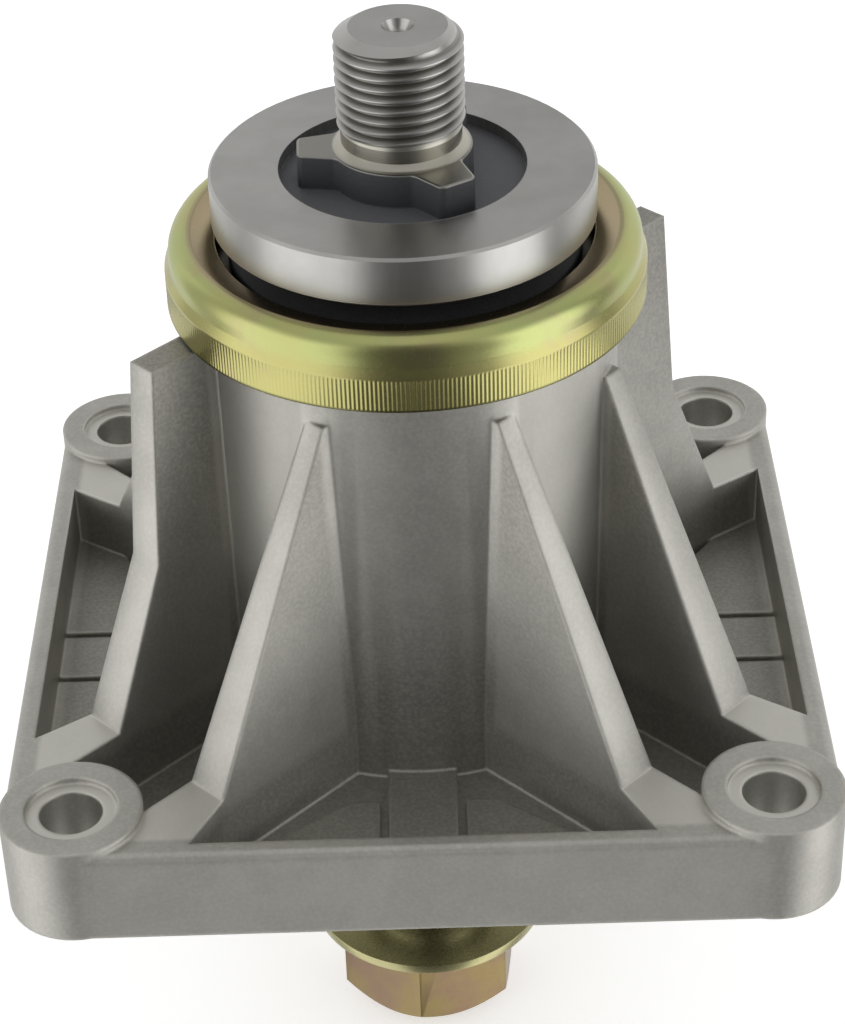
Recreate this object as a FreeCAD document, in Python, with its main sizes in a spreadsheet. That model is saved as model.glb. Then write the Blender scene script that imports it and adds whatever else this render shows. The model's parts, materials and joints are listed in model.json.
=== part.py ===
"""Mower deck spindle: a cast housing that bolts under a deck, with a forged spindle
that turns on two sealed ball bearings.

Millimetres, +Z up along the shaft. The origin is on the shaft's axis, in the plane of the
housing's deck face. The blade end is up and the pulley end is down.
"""
import math
import os
import re

import FreeCAD
import Part
import Sketcher

SIZES = [
    # Square flange and its four screw bosses
    ("hole_spacing", 87.3),
    ("hole_radius", 3.97),
    ("boss_radius", 9.0),
    ("boss_top", 13.8),
    ("spot_face_radius", 5.8),
    ("spot_face_depth", 0.8),
    ("flange_side", 104.8),
    ("flange_edge_round", 1.2),
    ("rim_top", 12.8),
    ("rim_wall", 2.7),
    ("floor_top", 2.8),
    # Raised pad on the floor of each side pocket, split by two slots
    ("pad_height", 1.1),
    ("pad_start", 32.5),
    ("pad_half_width", 9.5),
    ("pad_spread", 1.37),
    ("bar_half_width", 4.45),
    ("slot_width", 1.1),
    # Tube, pilot below the deck face, and the head that carries the dust cap
    ("tube_wall", 3.3),
    ("bearing_shoulder", 1.7),
    ("pilot_wall", 4.0),
    ("pilot_depth", 7.0),
    ("head_top", 66.3),
    ("head_height", 2.8),
    ("head_overhang", 2.4),
    # Ribs from the tube to the corners: beside each diagonal one to the front or back, one to the side
    ("rib_offset", 9.15),
    ("side_rib_offset", 10.5),
    ("rib_foot_thickness", 5.8),
    ("rib_top_thickness", 3.0),
    ("rib_foot_reach", 47.2),
    ("rib_top_sink", 1.2),
    ("rib_head_gap", 9.3),
    ("side_rib_head_gap", 12.0),
    ("rib_toe", 29.4),
    # Two of the side ribs, on opposite corners, rise as tall bent fins
    ("fin_kink_reach", 37.9),
    ("fin_kink_height", 34.0),
    ("fin_kink_thickness", 4.9),
    ("fin_top_reach", 35.6),
    ("fin_top_thickness", 4.1),
    ("fin_cap_gap", 0.3),
    # Bearings, 20 x 47 x 14 deep groove, sealed both sides
    ("bearing_bore_radius", 10.0),
    ("bearing_outer_radius", 23.5),
    ("bearing_width", 14.0),
    ("bearing_inset", 0.8),
    ("land_gap", 5.3),
    ("ball_radius", 3.969),
    ("ball_play", 0.03),
    ("raceway_flat", 1.6),
    ("raceway_mouth", 3.45),
    ("seal_thickness", 1.0),
    ("seal_inset", 0.35),
    ("seal_lip_gap", 0.1),
    ("cage_gap", 0.45),
    ("cage_skirt", 2.0),
    ("cage_crown", 4.35),
    ("cage_web", 0.8),
    ("cage_pocket_gap", 0.15),
    ("ball_count", 8),
    # Blade end of the spindle
    ("collar_wall", 3.2),
    ("collar_length", 7.1),
    ("ring_thickness", 6.5),
    ("ring_radius", 24.1),
    ("ring_edge", 0.35),
    ("recess_radius", 15.4),
    ("recess_depth", 1.6),
    ("driver_rise", 2.9),
    ("driver_hub_radius", 8.8),
    ("lobe_gap", 2.4),
    ("lobe_tip_half", 2.5),
    ("lobe_root_half", 5.2),
    ("lobe_round", 1.0),
    ("valley_round", 1.5),
    ("lobe_count", 3),
    ("lobe_angle", 61.7),
    ("neck_length", 6.3),
    ("neck_flare", 0.8),
    ("neck_relief", 0.44),
    ("thread_radius", 7.9375),
    ("thread_runout", 0.9),
    ("stud_length", 18.5),
    ("stud_chamfer", 1.9),
    ("stud_chamfer_height", 1.2),
    ("stem_chamfer", 0.9),
    ("centre_radius", 2.0),
    ("centre_depth", 3.4),
    # Pulley end of the spindle
    ("sleeve_wall", 2.6),
    ("shield_gap", 0.8),
    ("shield_thickness", 1.2),
    ("shield_step", 0.7),
    ("shield_rim", 2.4),
    ("spacer_wall", 3.0),
    ("spacer_length", 8.0),
    ("pulley_seat_step", 0.475),
    ("pulley_seat_length", 19.0),
    ("slide_gap", 0.05),
    # Flange nut
    ("nut_seat_gap", 6.2),
    ("nut_height", 17.0),
    ("nut_stem_inset", 0.9),
    ("nut_across_flats", 23.8),
    ("nut_flange_radius", 17.0),
    ("nut_flange_edge", 1.4),
    ("nut_flange_height", 3.6),
    ("nut_face_radius", 9.8),
    ("nut_crown", 4.6),
    ("nut_angle", 23),
    # Dust cap, pressed over the head
    ("cap_sheet", 1.2),
    ("cap_skirt_drop", 4.4),
    ("cap_knurl_height", 3.9),
    ("cap_shoulder_height", 1.6),
    ("cap_shoulder", 0.6),
    ("cap_rise", 4.9),
    ("cap_crest_width", 2.6),
    ("cap_crest_round", 1.4),
    ("cap_flare_width", 2.3),
    ("cap_flare_drop", 1.6),
    ("cap_hole_gap", 2.2),
    # Rubber ring seal on the collar
    ("seal_body_wall", 4.4),
    ("seal_body_height", 3.6),
    ("seal_lip_reach", 9.1),
    ("seal_lip_thickness", 0.9),
    ("seal_gap", 0.3),
]

doc = FreeCAD.newDocument("mower_deck_spindle")
sheet = doc.addObject("Spreadsheet::Sheet", "sizes")
for row, (alias, value) in enumerate(SIZES, start=1):
    sheet.set(f"A{row}", alias)
    sheet.set(f"B{row}", str(value))
    sheet.setAlias(f"B{row}", alias)
doc.recompute()

ALIASES = {alias for alias, _ in SIZES}
HALF_ROOT = "sqrt(0.5)"
CORNERS = ((-1, -1), (1, -1), (1, 1), (-1, 1))

# Radii and heights that several pieces share
TUBE = "(bearing_outer_radius + tube_wall)"
HEAD = f"({TUBE} + head_overhang)"
COLLAR = "(bearing_bore_radius + collar_wall)"
PITCH = "((bearing_bore_radius + bearing_outer_radius) / 2)"
INNER_LAND = f"({PITCH} - land_gap / 2)"
OUTER_LAND = f"({PITCH} + land_gap / 2)"
RING_BOTTOM = "(head_top - bearing_inset + collar_length)"
RING_TOP = f"({RING_BOTTOM} + ring_thickness)"
LOWER_FACE = "(bearing_inset - pilot_depth)"
UPPER_MIDDLE = "(head_top - bearing_inset - bearing_width / 2)"
LOWER_MIDDLE = f"({LOWER_FACE} + bearing_width / 2)"
SPACER_TOP = f"({LOWER_FACE} - shield_thickness)"
SPACER_END = f"({SPACER_TOP} - spacer_length)"
SEAT_END = f"({SPACER_END} - pulley_seat_length)"
NUT_SEAT = f"({SEAT_END} - nut_seat_gap)"
NUT_END = f"({NUT_SEAT} - nut_height)"
STEM_END = f"({NUT_END} + nut_stem_inset)"


def cells(text):
    """An expression whose words are the sheet's aliases."""
    return re.sub(r"[a-z][a-z0-9_]*", lambda m: f"sizes.{m[0]}" if m[0] in ALIASES else m[0], text)


def size(text):
    return float(sheet.evalExpression(cells(text)))


def plane(body, role):
    return next(o for o in body.Origin.OriginFeatures if o.Role == role)


def newBody(label):
    body = doc.addObject("PartDesign::Body", label)
    body.Label = label
    return body


def newSketch(body, name, role, height="0"):
    sketch = body.newObject("Sketcher::SketchObject", name)
    sketch.AttachmentSupport = (plane(body, role), [""])
    sketch.MapMode = "FlatFace"
    if height != "0":
        sketch.setExpression("AttachmentOffset.Base.z", cells(height))
    return sketch


def pin(sketch, geometry, point, across, up):
    """Fix a point of the sketch at a place that the sheet drives."""
    for kind, text in (("DistanceX", across), ("DistanceY", up)):
        index = sketch.addConstraint(Sketcher.Constraint(kind, -1, 1, geometry, point, size(text)))
        sketch.setExpression(f"Constraints[{index}]", cells(text))


def outline(sketch, points):
    """A closed outline of straight lines through points given as expressions."""
    places = [FreeCAD.Vector(size(x), size(y), 0) for x, y in points]
    count = len(points)
    first = sketch.GeometryCount
    for i in range(count):
        sketch.addGeometry(Part.LineSegment(places[i], places[(i + 1) % count]))
    for i in range(count):
        sketch.addConstraint(Sketcher.Constraint("Coincident", first + i, 2, first + (i + 1) % count, 1))
        pin(sketch, first + i, 1, *points[i])


def circle(sketch, radius, across="0", up="0"):
    centre = FreeCAD.Vector(size(across), size(up), 0)
    index = sketch.addGeometry(Part.Circle(centre, FreeCAD.Vector(0, 0, 1), size(radius)))
    pin(sketch, index, 3, across, up)
    constraint = sketch.addConstraint(Sketcher.Constraint("Radius", index, size(radius)))
    sketch.setExpression(f"Constraints[{constraint}]", cells(radius))


def pad(body, sketch, length):
    feature = body.newObject("PartDesign::Pad", sketch.Name + "_pad")
    feature.Profile = sketch
    feature.setExpression("Length", cells(length))


def pocket(body, sketch, length):
    """Cut down from the sketch's plane."""
    feature = body.newObject("PartDesign::Pocket", sketch.Name + "_pocket")
    feature.Profile = sketch
    feature.setExpression("Length", cells(length))


def turn(body, name, points, kind="Revolution"):
    """Turn a profile of radius and height pairs about the shaft's axis."""
    sketch = newSketch(body, name, "XZ_Plane")
    outline(sketch, points)
    feature = body.newObject(f"PartDesign::{kind}", name + "_turned")
    feature.Profile = sketch
    feature.ReferenceAxis = (sketch, ["V_Axis"])
    feature.Angle = 360


def roundOff(body, name, chosen, amount):
    """A fillet on those edges of the body's tip that the test picks."""
    doc.recompute()
    base = body.Tip
    names = [f"Edge{i}" for i, edge in enumerate(base.Shape.Edges, start=1) if chosen(edge)]
    feature = body.newObject("PartDesign::Fillet", name)
    feature.Base = (base, names)
    feature.setExpression("Radius", cells(amount))


def ribPoint(reach, offset, side):
    """A plan place beside a diagonal: reach along it, offset to its left (side 1) or right (-1)."""
    along = f"({reach}) * {HALF_ROOT}"
    across = f"({side}) * ({offset}) * {HALF_ROOT}"
    return f"{along} - {across}", f"{along} + {across}"


def quarterTurn(point, turns):
    """The same plan place after a number of quarter turns about the shaft."""
    x, y = point
    for _ in range(turns):
        x, y = f"0 - ({y})", x
    return x, y


def ribOffset(corner, side):
    """Corners count from the back right; the ribs that border a side pocket stand further off."""
    return "side_rib_offset" if side == (1 if corner % 2 else -1) else "rib_offset"


def addRib(body, name, corner, side, stations):
    """A tapered rib on one side of a corner's diagonal, as a stack of wedges between stations.

    A station is a height, the reach along the diagonal and the thickness.
    """
    angle = math.radians(45 + 90 * corner)
    outward = FreeCAD.Vector(math.cos(angle), math.sin(angle), 0)
    up = FreeCAD.Vector(0, 0, 1)
    turnUp = FreeCAD.Rotation(outward, up, outward.cross(up))
    offset = ribOffset(corner, side)
    for i, (low, high) in enumerate(zip(stations, stations[1:])):
        wedge = body.newObject("PartDesign::AdditiveWedge", f"{name}_{i}")
        wedge.AttachmentSupport = (plane(body, "XY_Plane"), [""])
        wedge.MapMode = "FlatFace"
        wedge.AttachmentOffset = FreeCAD.Placement(FreeCAD.Vector(), turnUp)
        for prefix, (_, reach, thickness) in (("", low), ("2", high)):
            wedge.setExpression(f"X{prefix}min", cells(f"bearing_outer_radius - {offset}"))
            wedge.setExpression(f"X{prefix}max", cells(reach))
            wedge.setExpression(f"Z{prefix}min", cells(f"{-side} * {offset} - {thickness} / 2"))
            wedge.setExpression(f"Z{prefix}max", cells(f"{-side} * {offset} + {thickness} / 2"))
        wedge.setExpression("Ymin", cells(low[0]))
        wedge.setExpression("Ymax", cells(high[0]))


def makeHousing():
    body = newBody("housing")

    half = "flange_side / 2"
    block = newSketch(body, "flange_block", "XY_Plane")
    outline(block, [(f"{x} * {half}", f"{y} * {half}") for x, y in CORNERS])
    pad(body, block, "rim_top")
    upright = lambda e: e.BoundBox.ZLength > size("rim_top") / 2
    roundOff(body, "flange_corners", upright, "(flange_side - hole_spacing) / 2")
    upper = lambda e: e.BoundBox.ZMin > size("rim_top") / 2
    roundOff(body, "flange_edge", upper, "flange_edge_round")
    inside = f"({half} - rim_wall)"
    well = newSketch(body, "flange_well", "XY_Plane", "rim_top")
    outline(well, [(f"{x} * {inside}", f"{y} * {inside}") for x, y in CORNERS])
    pocket(body, well, "rim_top - floor_top")

    # Each rib's foot widens on its outer side into a flat web that runs to the boss
    feet = newSketch(body, "rib_feet", "XY_Plane")
    into = f"{half} - rim_wall / 2"
    for corner in range(4):
        for side in (1, -1):
            offset = ribOffset(corner, side)
            inner, wide = (f"{offset} {sign} rib_foot_thickness / 2" for sign in "-+")
            toe = ("rib_toe", into) if side == 1 else (into, "rib_toe")
            web = ("hole_spacing / 2", into) if side == 1 else (into, "hole_spacing / 2")
            foot = [ribPoint(f"bearing_outer_radius - {offset}", inner, side),
                    ribPoint(f"bearing_outer_radius - {offset}", wide, side),
                    ribPoint("rib_foot_reach", wide, side),
                    toe, web,
                    ribPoint(f"hole_spacing * {HALF_ROOT} - boss_radius / 2", inner, side)]
            outline(feet, [quarterTurn(point, corner) for point in foot])
    pad(body, feet, "rim_top")

    bosses = newSketch(body, "screw_boss", "XY_Plane")
    for x, y in CORNERS:
        circle(bosses, "boss_radius", f"{x} * hole_spacing / 2", f"{y} * hole_spacing / 2")
    pad(body, bosses, "boss_top")

    # The pocket floors are raised towards the rim, round a bar that runs in to the tube
    pads = newSketch(body, "pocket_pads", "XY_Plane")
    slotEdge = "(bar_half_width + slot_width)"
    padRun = "(rib_toe - pad_half_width) / pad_spread"
    for side in range(4):
        for mirror in (1, -1):
            corners = [(f"{mirror} * {slotEdge}", "pad_start"),
                       (f"{mirror} * pad_half_width", "pad_start"),
                       (f"{mirror} * rib_toe", f"pad_start + {padRun}"),
                       (f"{mirror} * rib_toe", into),
                       (f"{mirror} * {slotEdge}", into)]
            outline(pads, [quarterTurn(point, side) for point in corners])
        bar = [("0 - bar_half_width", "bearing_outer_radius"), ("bar_half_width", "bearing_outer_radius"),
               ("bar_half_width", into), ("0 - bar_half_width", into)]
        outline(pads, [quarterTurn(point, side) for point in bar])
    pad(body, pads, "floor_top + pad_height")

    turn(body, "tube", [
        ("0", "0 - pilot_depth"),
        ("bearing_outer_radius + pilot_wall", "0 - pilot_depth"),
        ("bearing_outer_radius + pilot_wall", "0"),
        (TUBE, "0"),
        (TUBE, "head_top - head_height"),
        (HEAD, "head_top - head_height"),
        (HEAD, "head_top"),
        ("0", "head_top")])

    foot = ("rim_top", "rib_foot_reach", "rib_foot_thickness")
    fin = [foot, ("fin_kink_height", "fin_kink_reach", "fin_kink_thickness"),
           ("head_top - cap_skirt_drop - fin_cap_gap", "fin_top_reach", "fin_top_thickness")]
    for corner in range(4):
        for side in (1, -1):
            gap = "side_rib_head_gap" if ribOffset(corner, side) == "side_rib_offset" else "rib_head_gap"
            gusset = [foot, (f"head_top - {gap}", f"({TUBE} - rib_top_sink)", "rib_top_thickness")]
            bent = side == -1 and corner in (0, 2)
            addRib(body, f"rib_{corner}_{'left' if side == 1 else 'right'}", corner, side, fin if bent else gusset)

    # One groove bores the tube and both bearing seats
    seat = "bearing_inset + bearing_width"
    tubeBore = "bearing_outer_radius - bearing_shoulder"
    turn(body, "bore", [
        ("0", "0 - pilot_depth"),
        ("bearing_outer_radius", "0 - pilot_depth"),
        ("bearing_outer_radius", f"{seat} - pilot_depth"),
        (tubeBore, f"{seat} - pilot_depth"),
        (tubeBore, f"head_top - ({seat})"),
        ("bearing_outer_radius", f"head_top - ({seat})"),
        ("bearing_outer_radius", "head_top"),
        ("0", "head_top")], kind="Groove")

    for name, radius, depth in (("spot_faces", "spot_face_radius", "spot_face_depth"),
                                ("screw_holes", "hole_radius", "boss_top")):
        holes = newSketch(body, name, "XY_Plane", "boss_top")
        for x, y in CORNERS:
            circle(holes, radius, f"{x} * hole_spacing / 2", f"{y} * hole_spacing / 2")
        pocket(body, holes, depth)
    return body


def makeShaft():
    body = newBody("spindle_shaft")
    neck = "(thread_radius - neck_relief)"
    seat = "(bearing_bore_radius - pulley_seat_step)"
    base = f"({RING_TOP} - recess_depth)"
    driverTop = f"({RING_TOP} + driver_rise)"
    studTop = f"({RING_TOP} + stud_length)"
    turn(body, "forging", [
        ("0", STEM_END),
        ("thread_radius - stem_chamfer", STEM_END),
        ("thread_radius", f"{STEM_END} + stem_chamfer"),
        ("thread_radius", SEAT_END),
        (seat, SEAT_END),
        (seat, SPACER_END),
        ("bearing_bore_radius", SPACER_END),
        ("bearing_bore_radius", "head_top - bearing_inset"),
        (COLLAR, "head_top - bearing_inset"),
        (COLLAR, RING_BOTTOM),
        ("ring_radius - ring_edge", RING_BOTTOM),
        ("ring_radius", f"{RING_BOTTOM} + ring_edge"),
        ("ring_radius", f"{RING_TOP} - ring_edge"),
        ("ring_radius - ring_edge", RING_TOP),
        ("recess_radius", RING_TOP),
        ("recess_radius", base),
        (f"{neck} + neck_flare", base),
        (f"{neck} + neck_flare", driverTop),
        (neck, f"{driverTop} + neck_flare"),
        (neck, f"{RING_TOP} + neck_length - thread_runout"),
        ("thread_radius", f"{RING_TOP} + neck_length"),
        ("thread_radius", f"{studTop} - stud_chamfer_height"),
        ("thread_radius - stud_chamfer", studTop),
        ("centre_radius", studTop),
        ("0", f"{studTop} - centre_depth")])

    # Three lobes stand in the recess, round a hub that hugs the neck
    height = f"{driverTop} - {base}"
    hub = newSketch(body, "driver_hub", "XY_Plane", base)
    circle(hub, "driver_hub_radius")
    pad(body, hub, height)
    tip = "(recess_radius - lobe_gap)"
    for i in range(int(size("lobe_count"))):
        lobe = newSketch(body, f"driver_lobe_{i}", "XY_Plane", base)
        lobe.setExpression("AttachmentOffset.Rotation.Angle", cells(f"lobe_angle + {i} * 360 / lobe_count"))
        outline(lobe, [("0", "0 - lobe_root_half"), (tip, "0 - lobe_tip_half"),
                       (tip, "lobe_tip_half"), ("0", "lobe_root_half")])
        pad(body, lobe, height)
    reach = lambda e: math.hypot(e.CenterOfMass.x, e.CenterOfMass.y)
    tall = lambda e: (abs(e.BoundBox.ZLength - size(height)) < 0.01 and abs(e.Length - size(height)) < 0.01
                      and abs(e.BoundBox.ZMax - size(driverTop)) < 0.01)
    roundOff(body, "lobe_tips", lambda e: tall(e) and reach(e) > size(tip), "lobe_round")
    roundOff(body, "lobe_valleys", lambda e: tall(e) and reach(e) < size("driver_hub_radius") + 0.01, "valley_round")
    return body


def makeDustCap():
    """A pressed steel ring: skirt, hollow flared bead, and a floor clamped on the head's face."""
    body = newBody("dust_cap")
    outer = f"({HEAD} + cap_sheet)"
    wall = f"({outer} - cap_shoulder)"
    crest = f"({wall} - cap_crest_width)"
    throat = f"({crest} - cap_flare_width)"
    skirt = "(head_top - cap_skirt_drop)"
    top = "(head_top + cap_rise)"
    lip = f"({top} - cap_flare_drop)"
    shoulder = f"({skirt} + cap_knurl_height)"
    turn(body, "cap", [
        (HEAD, skirt),
        (outer, skirt),
        (outer, shoulder),
        (wall, f"{shoulder} + cap_shoulder_height"),
        (wall, top),
        (crest, top),
        (throat, lip),
        (throat, "head_top + cap_sheet"),
        (f"{COLLAR} + cap_hole_gap", "head_top + cap_sheet"),
        (f"{COLLAR} + cap_hole_gap", "head_top"),
        (f"{throat} + cap_sheet", "head_top"),
        (f"{throat} + cap_sheet", f"{lip} - cap_sheet / 2"),
        (f"{crest} + cap_sheet / 3", f"{top} - cap_sheet"),
        (f"{wall} - cap_sheet", f"{top} - cap_sheet"),
        (f"{wall} - cap_sheet", "head_top + cap_sheet / 2"),
        (HEAD, "head_top")])
    crown = lambda e: abs(e.BoundBox.ZMin - size(top)) < 0.01 and e.BoundBox.ZLength < 0.01
    roundOff(body, "bead", crown, "cap_crest_round")
    return body


def makeRingSeal():
    """A rubber ring on the collar whose thin lip reaches out to the cap's floor."""
    body = newBody("v_ring_seal")
    foot = "(head_top + cap_sheet + seal_gap)"
    top = f"({RING_BOTTOM} - seal_gap)"
    wall = f"({COLLAR} + seal_body_wall)"
    lip = f"({COLLAR} + seal_lip_reach)"
    turn(body, "ring_seal", [
        (COLLAR, f"{top} - seal_body_height"),
        (wall, f"{top} - seal_body_height"),
        (f"{lip} - seal_lip_thickness", foot),
        (lip, foot),
        (lip, f"{foot} + seal_lip_thickness"),
        (wall, f"{top} - seal_body_height + 2 * seal_lip_thickness"),
        (wall, top),
        (COLLAR, top)])
    return body


def makeSleeve(label, wall, low, high):
    """A plain tube that slides over the journal and butts against its neighbours."""
    body = newBody(label)
    bore = "bearing_bore_radius + slide_gap"
    outer = f"bearing_bore_radius + {wall}"
    turn(body, label + "_wall", [(bore, low), (outer, low), (outer, high), (bore, high)])
    return body


def makeShield():
    """A pressed washer nipped between the lower inner ring and the pulley spacer."""
    body = newBody("lower_dust_shield")
    bore = "bearing_bore_radius + slide_gap"
    near = f"{INNER_LAND} - shield_step"
    far = f"{INNER_LAND} + shield_step"
    rim = "(bearing_outer_radius - shield_gap)"
    turn(body, "shield", [
        (bore, LOWER_FACE),
        (near, LOWER_FACE),
        (far, f"{LOWER_FACE} - shield_step"),
        (rim, f"{LOWER_FACE} - shield_step"),
        (rim, f"{LOWER_FACE} - shield_rim"),
        (f"{rim} - shield_thickness", f"{LOWER_FACE} - shield_rim"),
        (f"{rim} - shield_thickness", f"{LOWER_FACE} - shield_step - shield_thickness"),
        (far, f"{LOWER_FACE} - shield_step - shield_thickness"),
        (near, f"{LOWER_FACE} - shield_thickness"),
        (bore, f"{LOWER_FACE} - shield_thickness")])
    return body


def makeBall(centre, radius, meridians=8, bands=5):
    """A ball of flat faces, inside the true sphere and touching it at its corners."""
    ring = lambda band: [centre + FreeCAD.Vector(
        radius * math.sin(math.pi * band / bands) * math.cos(2 * math.pi * i / meridians),
        radius * math.sin(math.pi * band / bands) * math.sin(2 * math.pi * i / meridians),
        radius * math.cos(math.pi * band / bands)) for i in range(meridians)]
    top, bottom = (centre + FreeCAD.Vector(0, 0, z) for z in (radius, -radius))
    rings = [ring(band) for band in range(1, bands)]
    faces = []
    for i in range(meridians):
        j = (i + 1) % meridians
        faces.append([top, rings[0][i], rings[0][j]])
        faces.append([bottom, rings[-1][j], rings[-1][i]])
        for upper, lower in zip(rings, rings[1:]):
            faces.append([upper[i], lower[i], lower[j], upper[j]])
    shell = Part.makeShell([Part.Face(Part.makePolygon(face + face[:1])) for face in faces])
    return Part.makeSolid(shell)


def makeBearing(prefix, middle):
    """Six pieces round a middle height: two rings, balls, a crown cage and two rubber seals."""
    half = "bearing_width / 2"
    reach = "(ball_radius + ball_play)"

    outerRing = newBody(prefix + "_bearing_outer_ring")
    turn(outerRing, prefix + "_outer", [
        (OUTER_LAND, f"{middle} - {half}"),
        ("bearing_outer_radius", f"{middle} - {half}"),
        ("bearing_outer_radius", f"{middle} + {half}"),
        (OUTER_LAND, f"{middle} + {half}"),
        (OUTER_LAND, f"{middle} + raceway_mouth"),
        (f"{PITCH} + {reach}", f"{middle} + raceway_flat"),
        (f"{PITCH} + {reach}", f"{middle} - raceway_flat"),
        (OUTER_LAND, f"{middle} - raceway_mouth")])

    innerRing = newBody(prefix + "_bearing_inner_ring")
    turn(innerRing, prefix + "_inner", [
        ("bearing_bore_radius", f"{middle} - {half}"),
        (INNER_LAND, f"{middle} - {half}"),
        (INNER_LAND, f"{middle} - raceway_mouth"),
        (f"{PITCH} - {reach}", f"{middle} - raceway_flat"),
        (f"{PITCH} - {reach}", f"{middle} + raceway_flat"),
        (INNER_LAND, f"{middle} + raceway_mouth"),
        (INNER_LAND, f"{middle} + {half}"),
        ("bearing_bore_radius", f"{middle} + {half}")])

    cage = newBody(prefix + "_bearing_cage")
    turn(cage, prefix + "_cage_ring", [
        (f"{INNER_LAND} + cage_gap", f"{middle} - cage_skirt"),
        (f"{OUTER_LAND} - cage_gap", f"{middle} - cage_skirt"),
        (f"{OUTER_LAND} - cage_gap", f"{middle} + cage_crown + cage_web"),
        (f"{INNER_LAND} + cage_gap", f"{middle} + cage_crown + cage_web")])
    count = int(size("ball_count"))
    spots = newSketch(cage, prefix + "_cage_pockets", "XY_Plane", f"{middle} + cage_crown")
    for i in range(count):
        angle = f"({i} * 360deg / ball_count)"
        circle(spots, "ball_radius + cage_pocket_gap", f"{PITCH} * cos{angle}", f"{PITCH} * sin{angle}")
    pocket(cage, spots, "cage_crown + ball_radius")

    balls = doc.addObject("Part::Feature", prefix + "_bearing_balls")
    balls.Label = balls.Name
    places = [2 * math.pi * i / count for i in range(count)]
    middleOf = [FreeCAD.Vector(size(PITCH) * math.cos(a), size(PITCH) * math.sin(a), 0) for a in places]
    balls.Shape = Part.makeCompound([makeBall(centre, size("ball_radius")) for centre in middleOf])
    balls.Placement = FreeCAD.Placement(FreeCAD.Vector(0, 0, size(middle)), FreeCAD.Rotation())

    pieces = [outerRing, innerRing, cage, balls]
    for name, sign in (("top", 1), ("bottom", -1)):
        seal = newBody(f"{prefix}_bearing_{name}_seal")
        face = f"{middle} + {sign} * ({half} - seal_inset)"
        back = f"{middle} + {sign} * ({half} - seal_inset - seal_thickness)"
        turn(seal, f"{prefix}_{name}_seal", [
            (f"{INNER_LAND} + seal_lip_gap", back),
            (OUTER_LAND, back),
            (OUTER_LAND, face),
            (f"{INNER_LAND} + seal_thickness", face)])
        pieces.append(seal)
    return pieces


def makeNut():
    """A hex nut with a broad flange that faces up to the pulley and a coned lower end."""
    body = newBody("hex_flange_nut")
    corner = "(nut_across_flats / sqrt(3))"
    hexagon = newSketch(body, "nut_hexagon", "XY_Plane", NUT_END)
    outline(hexagon, [(f"{corner} * cos(nut_angle * 1deg + {i} * 60deg)",
                       f"{corner} * sin(nut_angle * 1deg + {i} * 60deg)") for i in range(6)])
    pad(body, hexagon, "nut_height")
    turn(body, "nut_crown", [
        ("nut_face_radius", NUT_END),
        (f"{corner} + nut_crown / 4", NUT_END),
        (f"{corner} + nut_crown / 4", f"{NUT_END} + nut_crown")], kind="Groove")
    turn(body, "nut_flange", [
        ("thread_radius", f"{NUT_SEAT} - nut_flange_height"),
        ("nut_across_flats / 2", f"{NUT_SEAT} - nut_flange_height"),
        ("nut_flange_radius", f"{NUT_SEAT} - nut_flange_edge"),
        ("nut_flange_radius", NUT_SEAT),
        ("thread_radius", NUT_SEAT)])
    hole = newSketch(body, "nut_thread", "XY_Plane", NUT_SEAT)
    circle(hole, "thread_radius + slide_gap")
    pocket(body, hole, "nut_height")
    return body


pieces = [makeHousing(), makeShaft(), makeDustCap(), makeRingSeal()]
pieces += makeBearing("upper", UPPER_MIDDLE)
pieces += makeBearing("lower", LOWER_MIDDLE)
pieces.append(makeSleeve("bearing_spacer", "sleeve_wall",
                         f"{LOWER_MIDDLE} + bearing_width / 2", f"{UPPER_MIDDLE} - bearing_width / 2"))
pieces.append(makeSleeve("pulley_spacer", "spacer_wall", SPACER_END, SPACER_TOP))
pieces.append(makeShield())
pieces.append(makeNut())
doc.recompute()

failed = [o.Name for o in doc.Objects if {"Invalid", "Error"} & set(o.State)]
if failed:
    raise RuntimeError(f"these objects did not build: {failed}")
for piece in pieces:
    if piece.Shape.isNull() or not piece.Shape.isValid():
        raise RuntimeError(f"{piece.Label} has no valid shape")

os.makedirs("parts", exist_ok=True)
for piece in pieces:
    piece.Shape.exportStep(f"parts/{piece.Label}.step")
    solids = piece.Shape.Solids
    print(f"{piece.Label:28s} {len(solids)} solid(s) {piece.Shape.Volume:10.1f} mm3")
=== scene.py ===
import json
import math

import bmesh
import bpy
from mathutils import Matrix, Vector


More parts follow.
